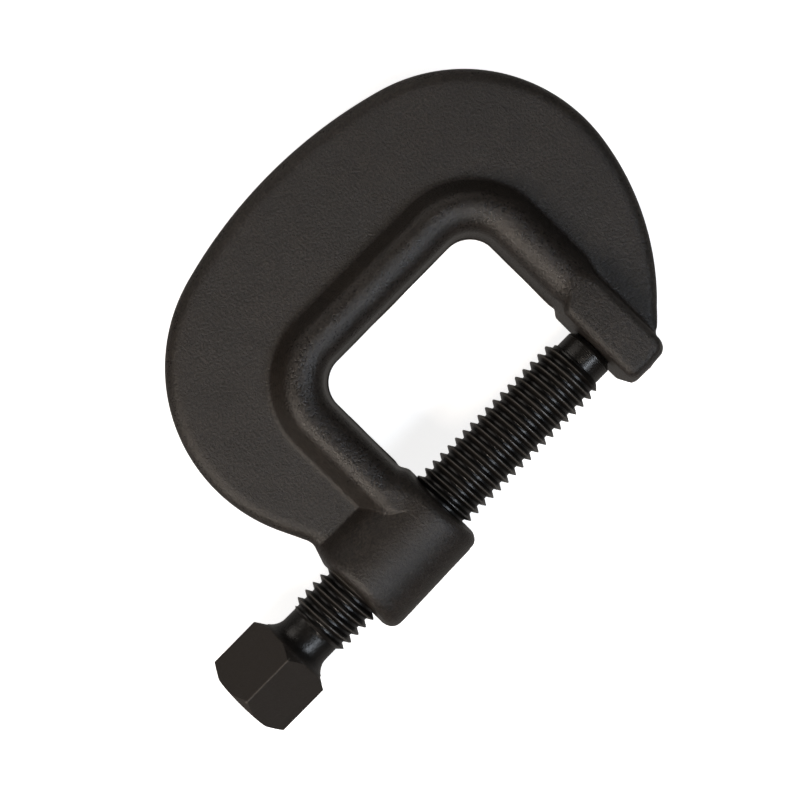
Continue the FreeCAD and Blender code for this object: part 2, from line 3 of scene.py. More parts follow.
import bmesh
import bpy
import numpy as np
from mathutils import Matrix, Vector


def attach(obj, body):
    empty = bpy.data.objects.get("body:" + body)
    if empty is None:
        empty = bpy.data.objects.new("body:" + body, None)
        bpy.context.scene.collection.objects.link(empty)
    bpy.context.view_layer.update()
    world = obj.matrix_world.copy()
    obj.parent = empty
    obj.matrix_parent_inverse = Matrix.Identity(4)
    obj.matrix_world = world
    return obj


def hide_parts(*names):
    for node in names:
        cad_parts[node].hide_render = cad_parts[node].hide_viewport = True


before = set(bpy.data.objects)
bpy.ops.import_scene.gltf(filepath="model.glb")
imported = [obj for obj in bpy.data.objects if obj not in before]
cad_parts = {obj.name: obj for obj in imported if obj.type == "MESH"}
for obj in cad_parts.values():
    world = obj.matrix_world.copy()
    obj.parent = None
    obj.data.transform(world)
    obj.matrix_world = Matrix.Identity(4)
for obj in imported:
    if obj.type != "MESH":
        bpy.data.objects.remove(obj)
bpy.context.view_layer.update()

# ---------------------------------------------------------------- frame
# The frame is one drop forging in steel: a flat web, a rounded bead round the throat, a boss
# for the screw and an anvil. It is shot-blasted and given a dark oxide finish, then the jaw
# face is milled and the boss is bored, countersunk and tapped.

MM = 0.001
FULL_TURN = 2 * math.pi
# a distance too small to matter, and one that keeps two corners of a section apart
SAME = 1e-6
HAIR = 0.02
# the screw's axis where it meets the jaw face, in millimetres: shapes are drawn from there
JAW_POINT = np.array((31.075, -27.035, 10.35))

# the throat's wall at the parting plane, and the slope of every forged wall
THROAT_LEFT = -40.2
THROAT_RIGHT = 0.15
THROAT_TOP = 31.7
THROAT_CORNER = 5.6
DRAFT = math.tan(math.radians(7))

# the web's half thickness and edge rounding, then its outline: the crown as centre and radius,
# the shoulders' radius and reach, the front edge's radius, the foot as a point, and the neck
# as centre and radius
WEB_HALF = 3.5
WEB_EDGE = 3.0
CROWN = (-19.45, 64.42 - 92.0, 92.0)
SHOULDER = 31.7
FRONT_REACH = 28.9
BACK_REACH = 66.95
FRONT_ROUND = 49.6
FOOT = (10.3, -5.9)
NECK = (-64.3, 11.3, 2.8)
NECK_LEAN = math.radians(25)

# the bead: height above the parting plane, distances behind the throat's wall, roundings
BEAD_TOP = 9.5
BEAD_CREST = 7.3
BEAD_FOOT = 10.6
BEAD_INNER_ROUND = 5.1
BEAD_OUTER_ROUND = 3.2
BEAD_HOLLOW = 1.3

# the line left where the flash was trimmed: how far it stands out, its height, the share of
# that height at its rim, its rounding, how uneven it is, and where it fades by boss and anvil
FLASH = 0.2
FLASH_WIDTH = 0.35
RIM_SHARE = 0.4
ROOT_SHARE = 0.9
FLASH_ROUND = 0.1
RAGGED = 0.2
FLASH_RAMP = (9.5, 11.5)

# the boss: its faces along the screw, radius, corners in plan, and the share it narrows by
BOSS_FRONT = -39.25
BOSS_BACK = -62.8
BOSS_ROUND = 10.35
BOSS_CORNER = 2.6
BOSS_TAPER = 0.045
BOSS_TAPER_START = 6.0
BOSS_EDGE = 2.3

# how the bead and the web run into the boss, by distance from the screw's axis
BOSS_MEET = (8.98, 11.6)
BOSS_SHOULDER = (9.3, 10.9)
BOSS_FACE_RAMP = (8.0, 10.4)
BOSS_EDGE_RAMP = (3.2, 8.5)
CREST_FILL = 0.8
FLOOR_FILL = 1.7
TAIL_START = 7.2
TAIL_LENGTH = 3.4
TAIL_SHRINK = 2.6
TAIL_SLOPE = 0.9
TAIL_FOOT = 0.3

# the anvil: its far side, bottom end, top of the jaw face, half height, corners and edge
ANVIL_DEPTH = 9.9
ANVIL_DROP = 10.1
ANVIL_RISE = 9.6
ANVIL_HALF = 10.35
ANVIL_CORNER = 2.9
ANVIL_EDGE = 1.7
ANVIL_JAW_CORNER = 1.8
ANVIL_HOLLOW = 1.2

# how the bead and the web run into the anvil, by distance from the screw's axis
ANVIL_MEET = (10.5, 8.0)
ANVIL_RAMP = (ANVIL_RISE - 1.5, ANVIL_RISE + 3.5)
JAW_RAMP = (ANVIL_RISE - 1.5, ANVIL_RISE + 0.7)
ANVIL_CLIMB = (-2.0, 16.0)
FOOT_RAMP = (FOOT[1] - 0.9, FOOT[1] + 0.5)

# the web's outline ends behind the boss, past the lowest station of the throat's path
WEB_END = ((BOSS_BACK + 0.05, BOSS_ROUND - 3.2), (BOSS_BACK, -30.0))

# the forged skin's undulation
SKIN_DEPTH = 0.05
SKIN_SUNK = 0.8
SKIN_SEED = 0.6
SKIN_RAMP = (1.0, 3.0)


def ease(low, high, value):
    """Smooth step: 0 below low, 1 above high, 3u^2 - 2u^3 between."""
    u = np.clip((value - low) / (high - low), 0.0, 1.0)
    return u * u * (3.0 - 2.0 * u)


def between(first, second, share):
    """The first value at share 0, the second at share 1, in proportion between them."""
    return first + (second - first) * share


def soft_max(first, second, width):
    """The larger of two heights, with their crossing filled by a parabola of that width."""
    near = np.maximum(width - np.abs(first - second), 0.0)
    return np.maximum(first, second) + near * near / (4.0 * width)


def arc_points(centre_x, centre_y, radius, start, end, count):
    """Points on a circle about a centre, evenly spaced in angle from start to end."""
    turn = np.linspace(start, end, count)
    return np.stack((centre_x + radius * np.cos(turn), centre_y + radius * np.sin(turn)), axis=1)


def web_outline():
    """The web's edge in plan, from its foot over the crown to the boss: tangent arcs.

    Each shoulder's centre lies under the crown, at the crown's radius less its own from the
    crown's centre. The front edge's centre is found from the foot and the front shoulder."""
    crown = np.array(CROWN[:2])
    gap = CROWN[2] - SHOULDER
    front = np.array((FRONT_REACH - SHOULDER, 0.0))
    back = np.array((SHOULDER - BACK_REACH, 0.0))
    for centre in (front, back):
        centre[1] = crown[1] + math.sqrt(gap**2 - (centre[0] - crown[0]) ** 2)
    step = FRONT_ROUND - SHOULDER
    span = np.array(FOOT) - front
    length = np.hypot(*span)
    along = (length**2 + step**2 - FRONT_ROUND**2) / (2 * length)
    unit = span / length
    side = np.array((unit[1], -unit[0]))
    edge = front + unit * along + side * math.sqrt(step**2 - along**2)

    def heading(start, end):
        return math.atan2(end[1] - start[1], end[0] - start[0])

    lean = math.pi + NECK_LEAN
    front_turn = heading(edge, front)
    parts = (
        arc_points(*edge, FRONT_ROUND, heading(edge, FOOT), front_turn, 160),
        arc_points(*front, SHOULDER, front_turn, heading(crown, front), 200),
        arc_points(*crown, CROWN[2], heading(crown, front), heading(crown, back), 200),
        arc_points(*back, SHOULDER, heading(crown, back), lean, 300),
        arc_points(*NECK, NECK_LEAN, -NECK_LEAN, 40),
        np.array(WEB_END),
    )
    return np.concatenate(parts)


def outline_reach(stations_xy, normals):
    """Distance from each station along its normal to the nearest crossing of the outline.

    The outline is turned into the station's own axes, and the crossing of its normal is
    found by linear interpolation between the two outline points on either side."""
    outline = web_outline()
    relative = outline[None, :, :] - stations_xy[:, None, :]
    forward = np.einsum("spk,sk->sp", relative, normals)
    sideways = relative[:, :, 0] * -normals[:, None, 1] + relative[:, :, 1] * normals[:, None, 0]
    crosses = (sideways[:, :-1] * sideways[:, 1:] <= 0) & (forward[:, :-1] > 0)
    share = sideways[:, :-1] / (sideways[:, :-1] - sideways[:, 1:] + 1e-12)
    reach = forward[:, :-1] + share * (forward[:, 1:] - forward[:, :-1])
    return np.where(crosses, reach, np.inf).min(axis=1)


def throat_path():
    """Stations round the throat's wall at the parting plane, from the boss to the anvil.

    Straight up the boss's arm, round a corner, along the spine, round the other corner and
    down to the anvil's end. Stations stand closest where the bead meets boss and anvil.
    Returns each station's place and its normal, which points into the metal."""
    step = 0.4
    turn_y = THROAT_TOP - THROAT_CORNER
    boss_turn = np.radians(np.linspace(-90, 59, 58))
    left_y = np.concatenate((
        BOSS_ROUND * np.sin(boss_turn),
        np.linspace(*BOSS_MEET, 24),
        np.linspace(BOSS_MEET[1] + step, turn_y, 33),
    ))
    top_y = ANVIL_HALF * DRAFT - ANVIL_DROP
    bottom_y = np.concatenate((
        top_y + ANVIL_EDGE * (1 - np.sin(np.linspace(0, math.pi / 2, 12))),
        np.linspace(top_y, -ANVIL_DROP, 18)[1:],
    ))
    right_y = np.concatenate((
        np.linspace(turn_y, ANVIL_MEET[0] + step / 2, 36),
        np.linspace(*ANVIL_MEET, 21),
        np.linspace(ANVIL_MEET[1] - step, top_y + ANVIL_EDGE + 0.35, 34),
        bottom_y,
    ))
    corner = np.radians(np.linspace(180, 90, 84))[1:-1]
    left_corner = np.stack((np.cos(corner), np.sin(corner)), axis=1)
    right_corner = left_corner[::-1] * (-1, 1)
    spine_x = np.linspace(THROAT_LEFT + THROAT_CORNER, THROAT_RIGHT - THROAT_CORNER, 66)

    def run(x, y, normal):
        place = np.stack(np.broadcast_arrays(x, y), axis=1).astype(float)
        return place, np.broadcast_to(normal, place.shape)

    left_centre = np.array((THROAT_LEFT + THROAT_CORNER, turn_y))
    right_centre = np.array((THROAT_RIGHT - THROAT_CORNER, turn_y))
    runs = (
        run(THROAT_LEFT, left_y, (-1.0, 0.0)),
        (left_centre + THROAT_CORNER * left_corner, left_corner),
        run(spine_x, THROAT_TOP, (0.0, 1.0)),
        (right_centre + THROAT_CORNER * right_corner, right_corner),
        run(THROAT_RIGHT, right_y, (1.0, 0.0)),
    )
    place = np.concatenate([r[0] for r in runs])
    normal = np.concatenate([r[1] for r in runs])
    return place, normal


def rounded_section(corners, radii, arc_counts, line_counts):
    """Open polygon with rounded corners, one per station, as points along it.

    corners is (stations, corners, 2). Each inner corner becomes a circular arc, written as
    a rational quadratic curve: weights 1, cos(turn / 2), 1. Where two arcs would overlap on
    a side, both shrink in proportion."""
    legs = np.diff(corners, axis=1)
    length = np.maximum(np.hypot(legs[..., 0], legs[..., 1]), 1e-6)
    unit = legs / length[..., None]
    cosine = np.clip((unit[:, :-1] * unit[:, 1:]).sum(axis=2), -1.0, 1.0)
    turn = np.arccos(cosine)
    cut = radii * np.tan(turn / 2)
    padded = np.pad(cut, ((0, 0), (1, 1)))
    fit = np.minimum(1.0, 0.98 * length / np.maximum(padded[:, :-1] + padded[:, 1:], 1e-9))
    cut = cut * np.minimum(fit[:, :-1], fit[:, 1:])
    inner = corners[:, 1:-1]
    start = inner - unit[:, :-1] * cut[..., None]
    end = inner + unit[:, 1:] * cut[..., None]
    weight = np.cos(turn / 2)
    pieces = []
    last = corners[:, 0]
    for k, (arcs, lines) in enumerate(zip(arc_counts, line_counts)):
        along = np.linspace(0, 1, lines + 2)[:-1, None, None]
        pieces.append(last + (start[:, k] - last) * along)
        s = np.linspace(0, 1, arcs + 1)[:-1, None, None]
        w = 2 * weight[None, :, k, None] * s * (1 - s)
        blend = (1 - s) ** 2 * start[:, k] + w * inner[:, k] + s**2 * end[:, k]
        pieces.append(blend / ((1 - s) ** 2 + w + s**2))
        last = end[:, k]
    along = np.linspace(0, 1, line_counts[-1] + 2)[:, None, None]
    pieces.append(last + (corners[:, -1] - last) * along)
    return np.concatenate(pieces).transpose(1, 0, 2)


def round_plan_corner(x, y, corner_x, corner_y, radius, side):
    """Rounds a lower corner in plan: within a radius of it, u and v from the arc's centre
    become u sqrt(1 - v^2 / 2r^2) and v sqrt(1 - u^2 / 2r^2), which bends a square's sides
    into a circle. The side is 1 for a corner at high x and -1 for one at low x."""
    u = (x - corner_x) * side + radius
    v = corner_y - y + radius
    inside = (u > 0) & (v > 0)

    def bend(along, across):
        shrink = np.sqrt(np.maximum(1 - across**2 / (2 * radius**2), 0.25))
        return np.where(inside, along * shrink, along) - radius

    return corner_x + bend(u, v) * side, corner_y - bend(v, u)


def waves(x, y, seed):
    """Slow undulation between about -1 and 1: four crossing sine waves, each k times as fine
    as the first and 1 / k as high, turned and shifted by steps that never line up."""
    pace, turned_by, shifted_by = 0.17, 2.4, 1.7
    total = np.zeros_like(x)
    for k in range(1, 5):
        a = pace * k * math.sin(turned_by * k + seed)
        b = pace * k * math.cos(turned_by * k + seed)
        total += np.sin(a * x + b * y + shifted_by * k + seed) / k
    return total / 2.1


def anvil_end_height(y):
    """Height of the anvil's top along its length: flat, then a quarter ellipse over the
    bottom edge, then the drafted bottom wall down to the parting plane."""
    below = ANVIL_HALF * DRAFT - ANVIL_DROP
    wall = (y + ANVIL_DROP) / DRAFT
    round_off = np.clip((below + ANVIL_EDGE - y) / ANVIL_EDGE, 0.0, 1.0)
    rounded = ANVIL_HALF - ANVIL_EDGE * (1 - np.sqrt(1 - round_off**2))
    return np.clip(np.minimum(rounded, wall), 0.0, ANVIL_HALF)


def frame_sections(place, normal):
    """The eight corners of each station's half section, as offset and height, with radii.

    In order: the trimmed flash's edge at the parting plane, its rim, its root on the
    throat's wall, bead's inner shoulder, bead's outer shoulder, bead's foot, web's outer
    edge, and that edge at the parting plane. The boss's height is a circle about the
    screw's axis, and the anvil's is flat down to its rounded end."""
    y = place[:, 1]
    below_corner = y < THROAT_TOP - THROAT_CORNER + SAME
    on_left = (place[:, 0] < THROAT_LEFT + SAME) & below_corner
    on_right = (place[:, 0] > THROAT_RIGHT - SAME) & below_corner
    boss = np.where(on_left, np.sqrt(np.maximum(BOSS_ROUND**2 - y**2, 0.0)), 0.0)

    def fading(side, ramp):
        """1 below the ramp and 0 above it, on one arm only."""
        return np.where(side, 1 - ease(*ramp, y), 0.0)

    def over_boss(level, fill):
        """A level that the boss's round rises out of, and the round alone below its axis."""
        filled = np.where(on_left, soft_max(level, boss, fill), level)
        return np.where(on_left & (y < 0), boss, filled)

    in_boss = fading(on_left, BOSS_SHOULDER)
    anvil = fading(on_right, ANVIL_RAMP)
    jaw_side = fading(on_right, JAW_RAMP)
    at_foot = fading(on_right, FOOT_RAMP)

    # the bead and the web, with the bead's tail that narrows as it meets the boss
    far = ANVIL_DEPTH - THROAT_RIGHT
    reach = outline_reach(place, normal)
    reach = np.where(on_right & (y < FOOT[1] + HAIR), FOOT[0] - THROAT_RIGHT, reach)
    reach = between(reach, far, at_foot)
    crest = over_boss(BEAD_TOP, CREST_FILL)
    floor = np.maximum(np.minimum(over_boss(WEB_HALF, FLOOR_FILL), crest - HAIR), 0.0)
    wall = (THROAT_LEFT - BOSS_FRONT) * fading(on_left, BOSS_FACE_RAMP)
    inner = wall + crest * DRAFT
    tail = np.where(on_left, np.clip((TAIL_START - y) / TAIL_LENGTH, 0.0, 1.0), 0.0)
    outer = BEAD_CREST - TAIL_SHRINK * tail**2
    slope = (BEAD_FOOT - BEAD_CREST) / (BEAD_TOP - WEB_HALF) + TAIL_SLOPE * tail
    foot = outer + (crest - floor) * slope + TAIL_FOOT * tail
    edge = reach - in_boss * floor * DRAFT

    # the anvil, mixed in over the short ramp above it
    anvil_height = anvil_end_height(y)
    anvil_floor = np.minimum(WEB_HALF * (1 - at_foot), anvil_height)
    climb = np.where(anvil_height < crest, anvil, fading(on_right, ANVIL_CLIMB))
    top = between(crest, anvil_height, climb)
    inner = between(inner, -THROAT_RIGHT, jaw_side)
    outer = between(outer, far - anvil_height * DRAFT, anvil)
    foot = between(foot, far - anvil_floor * DRAFT, anvil)
    floor = between(floor, anvil_floor, anvil)

    # the trimmed flash, uneven along the throat
    along = np.cumsum(np.hypot(*np.diff(place, axis=0, prepend=place[:1]).T))
    uneven = 1 + RAGGED * np.sin(0.5 * along) * np.sin(0.17 * along + 1)
    flash = FLASH * uneven * np.where(on_left | on_right, ease(*FLASH_RAMP, y), 1.0)
    root = between(wall, -THROAT_RIGHT, jaw_side) + FLASH_WIDTH * DRAFT
    rim_height = np.minimum(FLASH_WIDTH * RIM_SHARE, top * RIM_SHARE)
    root_height = np.minimum(FLASH_WIDTH, top * ROOT_SHARE)

    rim = root - flash
    inner_round = between(BEAD_INNER_ROUND, BOSS_EDGE, fading(on_left, BOSS_EDGE_RAMP))
    offsets = (rim, rim, root, inner, outer, foot, np.maximum(edge, foot + HAIR), reach)
    heights = (0.0, rim_height, root_height, top, top, floor, floor, 0.0)
    radii = (
        FLASH_ROUND,
        FLASH_ROUND,
        between(inner_round, ANVIL_EDGE, anvil),
        between(BEAD_OUTER_ROUND, ANVIL_EDGE, anvil),
        between(BEAD_HOLLOW, ANVIL_HOLLOW, anvil),
        between(WEB_EDGE, BOSS_EDGE, in_boss),
    )

    def table(values):
        return np.stack(np.broadcast_arrays(*values), axis=1)

    return np.stack((table(offsets), table(heights)), axis=2), table(radii)


def close_rings(rows, columns):
    """Quad corner indices for rows of closed rings, each ring joined to the next."""
    row = np.arange(rows - 1)[:, None] * columns
    here = np.arange(columns)[None, :]
    after = (here + 1) % columns
    following = row + columns
    quads = np.stack((row + here, row + after, following + after, following + here), axis=2)
    return quads.reshape(-1, 4)


def add_object(name, data):
    """A new object at the origin, put into the scene."""
    made = bpy.data.objects.new(name, data)
    bpy.context.scene.collection.objects.link(made)
    return made


def mesh_object(name, points_mm, quads):
    """A smooth mesh object from points in the jaw's axes, its doubles merged and its faces
    turned outwards."""
    merge = 0.0005 * MM
    mesh = bpy.data.meshes.new(name)
    mesh.from_pydata(((points_mm + JAW_POINT) * MM).tolist(), [], quads.tolist())
    work = bmesh.new()
    work.from_mesh(mesh)
    bmesh.ops.remove_doubles(work, verts=work.verts, dist=merge)
    bmesh.ops.dissolve_degenerate(work, edges=work.edges, dist=merge)
    bmesh.ops.recalc_face_normals(work, faces=work.faces)
    work.to_mesh(mesh)
    work.free()
    mesh.polygons.foreach_set("use_smooth", np.ones(len(mesh.polygons), bool))
    return add_object(name, mesh)


place, normal = throat_path()
corners, radii = frame_sections(place, normal)
half = rounded_section(
    corners, radii, arc_counts=(2, 2, 14, 8, 6, 10), line_counts=(1, 1, 8, 1, 6, 22, 1)
)
ring = np.concatenate((half, half[:, -2:0:-1] * (1, -1)), axis=1)
x = place[:, None, 0] + normal[:, None, 0] * ring[..., 0]
y = place[:, None, 1] + normal[:, None, 1] * ring[..., 0]
z = ring[..., 1]

# the lower corners in plan, of the boss and of the anvil with its drafted faces
near_boss = x < BOSS_FRONT / 2
drafted = np.abs(z) * DRAFT
plan_corners = (
    (near_boss, BOSS_FRONT, -BOSS_ROUND, BOSS_CORNER, 1),
    (near_boss, BOSS_BACK, -BOSS_ROUND, BOSS_CORNER, -1),
    (~near_boss, ANVIL_DEPTH - drafted, drafted - ANVIL_DROP, ANVIL_CORNER, 1),
    (~near_boss, 0.0, drafted - ANVIL_DROP, ANVIL_JAW_CORNER, -1),
)
for here, face_x, end_y, radius, side in plan_corners:
    x, y = np.where(here, round_plan_corner(x, y, face_x, end_y, radius, side), (x, y))

# the boss narrows towards the throat below its axis, and the forged skin is not quite even
taper = BOSS_TAPER * ease(BOSS_BACK, BOSS_FRONT, x) * ease(0.0, BOSS_TAPER_START, -y)
y = y * (1 - taper * (x < 0.5 * BOSS_FRONT))
skin = SKIN_DEPTH * (waves(x, y, SKIN_SEED) - SKIN_SUNK)
z = z + np.sign(z) * skin * ease(*SKIN_RAMP, np.abs(z))
points = np.stack((x, y, z), axis=2).reshape(-1, 3)
forging = mesh_object("forged_frame", points, close_rings(*ring.shape[:2]))

# the screw's hole: the tap's largest and smallest radius and half the flat at its largest,
# then the countersink at both mouths
PITCH = 25.4 / 13
TAP_OUTSIDE = 6.5
TAP_INSIDE = 5.42
TAP_FLAT = 0.17
MOUTH_RADIUS = 6.9
MOUTH_INSIDE = 6.05
MOUTH_DEPTH = 0.85


def crest_distance(x, turn):
    """Distance along the axis to the nearest crest of a right-hand thread: a crest lies where
    x / pitch - turn / full turn is whole."""
    phase = x / PITCH - turn / FULL_TURN
    return np.abs(phase - np.round(phase)) * PITCH


def thread_radius(away, crest, crest_half, root):
    """Radius of a 60 degree thread: from the crest's flat it falls along a 30 degree flank,
    by the root of 3 times the distance, to the root."""
    return np.clip(crest - (away - crest_half) * math.sqrt(3), root, crest)


def about_axis(x, radius, turn):
    """Points at a radius and an angle about the screw's axis, one ring for each row."""
    around = (x, radius * np.cos(turn), radius * np.sin(turn))
    return np.stack(np.broadcast_arrays(*around), axis=2)


def tapped_hole():
    """A closed cutter: rings along the axis, their radius the largest of tap and mouths."""
    beyond = 2
    x = np.linspace(BOSS_BACK - beyond, BOSS_FRONT + beyond, 190)[:, None]
    turn = np.linspace(0, FULL_TURN, 73)[None, :-1]
    tap = thread_radius(crest_distance(x, turn), TAP_OUTSIDE, TAP_FLAT, TAP_INSIDE)
    into_face = np.maximum(BOSS_BACK + MOUTH_DEPTH - x, x - BOSS_FRONT + MOUTH_DEPTH)
    radius = np.maximum(tap, np.minimum(MOUTH_INSIDE + into_face, MOUTH_RADIUS))
    radius[[0, -1]] = 0.0
    rings = about_axis(x, radius, turn)
    return mesh_object("tapped_hole", rings.reshape(-1, 3), close_rings(*radius.shape))


# The cut works only on a closed forging. This one has a stray edge at the anvil's far bottom
# corner, so the modifier refuses it and the boss stays solid.
cutter = tapped_hole()
bore = forging.modifiers.new("bore", "BOOLEAN")
bore.operation = "DIFFERENCE"
bore.solver = "MANIFOLD"
bore.object = cutter
bpy.context.view_layer.update()
evaluated = forging.evaluated_get(bpy.context.evaluated_depsgraph_get())
bored = bpy.data.meshes.new_from_object(evaluated)
forging.modifiers.clear()
forging.data = bored
bpy.data.objects.remove(cutter)
bored.polygons.foreach_set("use_smooth", np.ones(len(bored.polygons), bool))
bored.set_sharp_from_angle(angle=math.radians(42))

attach(forging, "frame")
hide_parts("frame")


class Socket:
    """A shader value that can be used in ordinary arithmetic: each operator adds its node."""

    def __init__(self, maker, link):
        self.maker = maker
        self.link = link

    def __add__(self, other):
        return self.maker.maths("ADD", self, other)

    __radd__ = __add__

    def __mul__(self, other):
        return self.maker.maths("MULTIPLY", self, other)

    __rmul__ = __mul__

    def __sub__(self, other):
        return self.maker.maths("SUBTRACT", self, other)

    def __rsub__(self, other):
        return self.maker.maths("SUBTRACT", other, self)


class Finish:
    """The nodes of one material, or of the world, and the way they are made."""

    def __init__(self, owner):
        self.owner = owner
        owner.use_nodes = True
        self.tree = owner.node_tree
        self.tree.nodes.clear()

    def node(self, kind, settings=None, values=None, out=0):
        """A node of one type: settings first, then its sockets' values or links."""
        made = self.tree.nodes.new(kind)
        for key, value in (settings or {}).items():
            setattr(made, key, value)
        for key, value in (values or {}).items():
            if isinstance(value, Socket):
                self.tree.links.new(value.link, made.inputs[key])
            else:
                made.inputs[key].default_value = value
        return Socket(self, made.outputs[out]) if made.outputs else None

    def maths(self, operation, *values):
        """One arithmetic node on values or numbers."""
        return self.node("ShaderNodeMath", {"operation": operation}, dict(enumerate(values)))

    def own_place(self):
        """Where a point lies on the piece: its Object coordinates."""
        return self.node("ShaderNodeTexCoord", out=3)

    def mark(self, name):
        """The number that a piece keeps on its mesh under a name."""
        return self.node("ShaderNodeAttribute", {"attribute_name": name}, out=2)

    def noise(self, place, scale, detail=3.0, roughness=0.55):
        """Noise from 0 to 1 at a scale in cycles per metre."""
        values = {"Vector": place, "Scale": scale, "Detail": detail, "Roughness": roughness}
        return self.node("ShaderNodeTexNoise", values=values)

    def band(self, value, low, high):
        """Smooth step from 0 at low to 1 at high."""
        values = {"Value": value, "From Min": low, "From Max": high}
        return self.node("ShaderNodeMapRange", {"interpolation_type": "SMOOTHSTEP"}, values)

    def mix(self, share, first, second):
        """Two colours mixed by a value."""
        values = {0: share, 6: first, 7: second}
        return self.node("ShaderNodeMix", {"data_type": "RGBA"}, values, out=2)

    def bump(self, height, distance, under=None):
        """A relief of that depth in metres, on top of another one if there is one."""
        values = {"Height": height, "Distance": distance, "Strength": 1.0}
        if under:
            values["Normal"] = under
        return self.node("ShaderNodeBump", values=values)

    def surface(self, values):
        """The Principled shader and the output, which finish a material."""
        shader = self.node("ShaderNodeBsdfPrincipled", values=values)
        self.node("ShaderNodeOutputMaterial", values={"Surface": shader})


def store(piece, name, values):
    """One number per vertex, kept on the mesh for its material."""
    attribute = piece.data.attributes.new(name, "FLOAT", "POINT")
    attribute.data.foreach_set("value", np.ascontiguousarray(values, np.float32))


def vertex_places(piece):
    """The piece's vertices in the jaw's axes, in millimetres."""
    flat = np.empty(len(piece.data.vertices) * 3)
    piece.data.vertices.foreach_get("co", flat)
    return (flat.reshape(-1, 3) / MM - JAW_POINT).T


def throat_distance(x, y):
    """Distance behind the throat's wall: a rectangle with rounded corners, open below."""
    middle = (THROAT_LEFT + THROAT_RIGHT) / 2
    dx = np.abs(x - middle) - (THROAT_RIGHT - THROAT_LEFT) / 2 + THROAT_CORNER
    dy = y - THROAT_TOP + THROAT_CORNER
    outside = np.hypot(np.maximum(dx, 0), np.maximum(dy, 0))
    return outside + np.minimum(np.maximum(dx, dy), 0) - THROAT_CORNER


# rubbed smoother: the bead, the boss rather less, and the web's rounded edge
vx, vy, vz = vertex_places(forging)
behind = throat_distance(vx, vy)
above_boss = ease(8.0, 10.5, vy)
on_bead = (1 - ease(8.0, 11.0, behind)) * above_boss
on_boss = 0.6 * (vx < BOSS_FRONT + 1) * (1 - ease(7.0, 9.5, vy))
on_edge = ease(11.0, 12.0, behind) * ease(0.08, 0.7, WEB_HALF - np.abs(vz)) * above_boss
store(forging, "bead", np.maximum(np.maximum(on_bead, on_boss), on_edge))

OXIDE_DARK = (0.0165, 0.0130, 0.0105, 1)
OXIDE_BROWN = (0.0225, 0.0173, 0.0136, 1)
OXIDE_PIT = (0.006, 0.0045, 0.0036, 1)
OXIDE_RUBBED = (0.085, 0.075, 0.065, 1)

oxide = Finish(bpy.data.materials.new("forged_oxide"))
where = oxide.own_place()
bead = oxide.mark("bead")
blotch = oxide.noise(where, 90.0, 4.0)
cloud = oxide.noise(where, 320.0, 4.0, 0.6)
grit = oxide.noise(where, 2100.0, 4.0, 0.65)
brown = oxide.band(blotch * 0.6 + cloud * 0.4, 0.42, 0.62)
tone = oxide.mix(brown, OXIDE_DARK, OXIDE_BROWN)
tone = oxide.mix(oxide.band(grit, 0.38, 0.58), OXIDE_PIT, tone)
tone = oxide.mix(oxide.band(grit, 0.60, 0.75) * 0.4, tone, OXIDE_RUBBED)
rough = 0.42 + 0.12 * (cloud - 0.5) - 0.12 * bead + 0.2 * (grit - 0.5)
grain = grit * (1.0 - 0.1 * bead)
relief = oxide.bump(grain, 0.00020, under=oxide.bump(cloud, 0.00006))
oxide.surface({
    "Base Color": tone, "Roughness": rough, "Metallic": 0.0, "Normal": relief, "IOR": 1.5
})
forging.data.materials.clear()
forging.data.materials.append(oxide.owner)

# ---------------------------------------------------------------- screw
# The screw is one piece of alloy steel: a square head with its corner up, trimmed by a cone
# at each end, a short neck, and a rolled right-hand 1/2-13 thread. It is black oxide, oiled.

# the thread's largest and smallest radius, half its crest's flat, and how far rolling has
# rounded the crest's shoulders, over two ranges of distance from the crest
CREST = 6.35
ROOT = 5.27
CREST_FLAT = 0.12
ROLLED = 0.05
ROLLED_RISE = (0.06, 0.2)
ROLLED_FALL = (0.2, 0.4)
THREAD_FRONT = -4.3
THREAD_BACK = -72.2
LEAD_IN = 1.15
LEAD_RADIUS = 5.15
NECK_RADIUS = 5.24

# the neck's hollow flare into the head, as distance along the axis and radius
FLARE = (
    (-72.8, 5.24), (-73.6, 5.24), (-74.4, 5.25), (-75.2, 5.28), (-75.8, 5.42),
    (-76.4, 5.68), (-76.9, 6.0), (-77.3, 6.35), (-77.6, 6.72), (-77.85, 6.85),
)
# the square head: its ends, half diagonal, half width across flats, the length and blunting
# of its coned corners, and the gap that keeps the cone's edge crisp
HEAD_FRONT = -77.6
HEAD_BACK = -91.05
HEAD_CORNER = 12.7 / math.sqrt(2)
HEAD_FACE = 6.35
HEAD_BEVEL = 1.62
BLUNTED = 8.9
CONE_GAP = 0.03


def screw_turns():
    """Angles round the screw, closer together at the head's four edges."""
    even = np.linspace(0, FULL_TURN, 97)[:-1]
    corner = np.radians(np.array((-2.4, -1.1, 1.1, 2.4)))
    near = (np.arange(4)[:, None] * math.pi / 2 + corner).ravel() % FULL_TURN
    return np.sort(np.concatenate((even, near)))


def thread_rows():
    """Rows that run along the helix, at shares of a pitch where the thread form bends, and
    how many of them make one turn."""
    half = np.array((0.035, 0.075, 0.16, 0.27, 0.37, 0.42))
    flank = np.concatenate(((-0.5,), -half[::-1], half))
    first = math.floor(THREAD_BACK / PITCH) - 2
    last = math.ceil(THREAD_FRONT / PITCH) + 1
    return (np.arange(first, last)[:, None] + flank).ravel() * PITCH, len(flank)


